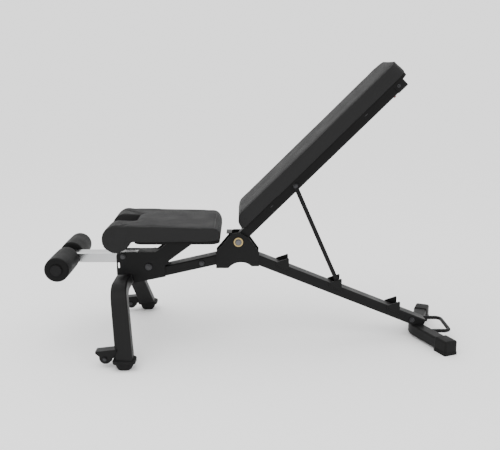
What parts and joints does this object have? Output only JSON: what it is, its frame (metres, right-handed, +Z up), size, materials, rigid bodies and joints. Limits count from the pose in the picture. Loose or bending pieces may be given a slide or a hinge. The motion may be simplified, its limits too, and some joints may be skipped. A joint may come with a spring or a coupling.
{
  "type": "adjustable weight bench",
  "caption": "Folding-back exercise bench: bent-tube frame, propped hinged backrest, cut-out seat and sliding foam-roller leg brace.",
  "frame": {"origin": "on the floor under the middle of the bench's bounding box", "axes": "+X from the leg rollers to the head end, +Y to the right-hand side, +Z up"},
  "size_m": [1.51, 0.6842, 1.0518],
  "materials": {
    "frame_paint": "satin black powder coat",
    "chrome_bar": "bright plated",
    "zinc_fasteners": "zinc plated",
    "brass": "turned",
    "black_rubber": "matt moulded rubber",
    "foam_skin": "closed-cell foam with a smooth skin",
    "black_plastic": "moulded",
    "red_plastic": "moulded",
    "upholstery": "grained synthetic leather over foam",
    "board": "black backing board"
  },
  "bodies": {
    "frame": {"main_beam": "frame_paint", "front_stabiliser": "frame_paint", "rear_stabiliser": "frame_paint", "rear_handle": "frame_paint", "gusset_plate_left": "frame_paint", "gusset_plate_right": "frame_paint", "gusset_bridge": "frame_paint", "hub_plate_left": "frame_paint", "hub_plate_right": "frame_paint", "leg_brace_socket": "frame_paint", "lock_pin_barrel": "zinc_fasteners", "hub_bolts": "zinc_fasteners", "beam_bolts": "zinc_fasteners", "notch_bracket_upright": "frame_paint", "notch_bracket_incline": "frame_paint", "notch_bracket_flat": "frame_paint", "front_foot_left": "black_rubber", "front_foot_right": "black_rubber", "rear_foot_left": "black_rubber", "rear_foot_right": "black_rubber", "wheel_housing_left": "black_plastic", "wheel_housing_right": "black_plastic", "wheel_bolts": "zinc_fasteners", "seat_mount_plate": "frame_paint", "seat_board": "board", "seat_bolts": "zinc_fasteners", "seat_cushion": "upholstery", "pivot_bushings": "brass"},
    "main_pivot": {"pivot_bolt": "zinc_fasteners"},
    "backrest": {"pivot_sleeve": "frame_paint", "backrest_tube": "frame_paint", "backrest_plug": "black_plastic", "backrest_end_cap": "black_plastic", "end_cap_bolts": "zinc_fasteners", "prop_sleeve": "frame_paint", "pad_brackets": "frame_paint", "pad_bolts": "zinc_fasteners", "backrest_board": "board", "backrest_cushion": "upholstery"},
    "prop_pivot": {"prop_bolt": "zinc_fasteners"},
    "prop": {"prop_frame": "frame_paint", "prop_foot_tube": "frame_paint"},
    "leg_brace": {"leg_brace_bar": "chrome_bar", "leg_brace_plug": "black_plastic", "roller_axle": "chrome_bar", "roller_cap_left": "black_plastic", "roller_cap_right": "black_plastic"},
    "roller_left": {"foam_roller_left": "foam_skin"},
    "roller_right": {"foam_roller_right": "foam_skin"},
    "wheel_left": {"wheel_left": "black_plastic"},
    "wheel_right": {"wheel_right": "black_plastic"},
    "release_button": {"release_button": "red_plastic"},
    "lock_pin": {"lock_pin": "black_plastic"}
  },
  "joints": [
    {"name": "backrest_raise", "type": "hinge", "parent": "frame", "child": "main_pivot", "pos_m": [-0.063, 0, 0.385], "axis": [0, -1, 0], "range_deg": [0, 40.98]},
    {"name": "backrest_lower", "type": "hinge", "parent": "main_pivot", "child": "backrest", "pos_m": [-0.063, 0, 0.385], "axis": [0, -1, 0], "range_deg": [-41.54, 0]},
    {"name": "prop_follow_raise", "type": "hinge", "parent": "backrest", "child": "prop_pivot", "pos_m": [0.14933, 0, 0.59836], "axis": [0, -1, 0], "range_deg": [-42.84, 0.2]},
    {"name": "prop_follow_lower", "type": "hinge", "parent": "prop_pivot", "child": "prop", "pos_m": [0.14933, 0, 0.59836], "axis": [0, -1, 0], "range_deg": [-0.2, 65.86]},
    {"name": "leg_brace_slide", "type": "slide", "parent": "frame", "child": "leg_brace", "axis": [1, 0, 0], "range_m": [-0.04, 0.07]},
    {"name": "roller_left_spin", "type": "hinge", "parent": "leg_brace", "child": "roller_left", "pos_m": [-0.71, 0, 0.324], "axis": [0, 1, 0], "continuous": true},
    {"name": "roller_right_spin", "type": "hinge", "parent": "leg_brace", "child": "roller_right", "pos_m": [-0.71, 0, 0.324], "axis": [0, 1, 0], "continuous": true},
    {"name": "wheel_left_spin", "type": "hinge", "parent": "frame", "child": "wheel_left", "pos_m": [-0.529, -0.29, 0.0345], "axis": [0, 1, 0], "continuous": true},
    {"name": "wheel_right_spin", "type": "hinge", "parent": "frame", "child": "wheel_right", "pos_m": [-0.529, 0.29, 0.0345], "axis": [0, 1, 0], "continuous": true},
    {"name": "release_button_press", "type": "slide", "parent": "backrest", "child": "release_button", "axis": [-0.7034, 0, 0.7108], "range_m": [0, 0.006], "stiffness_N_per_m": 800, "springref_m": -0.004},
    {"name": "lock_pin_pull", "type": "slide", "parent": "frame", "child": "lock_pin", "axis": [0, 1, 0], "range_m": [0, 0.012], "stiffness_N_per_m": 800, "springref_m": -0.008}
  ],
  "couplings": [
    {"joint": "prop_follow_raise", "follows": "backrest_raise", "ratio": -1.0405},
    {"joint": "prop_follow_lower", "follows": "backrest_lower", "ratio": -1.5806}
  ]
}
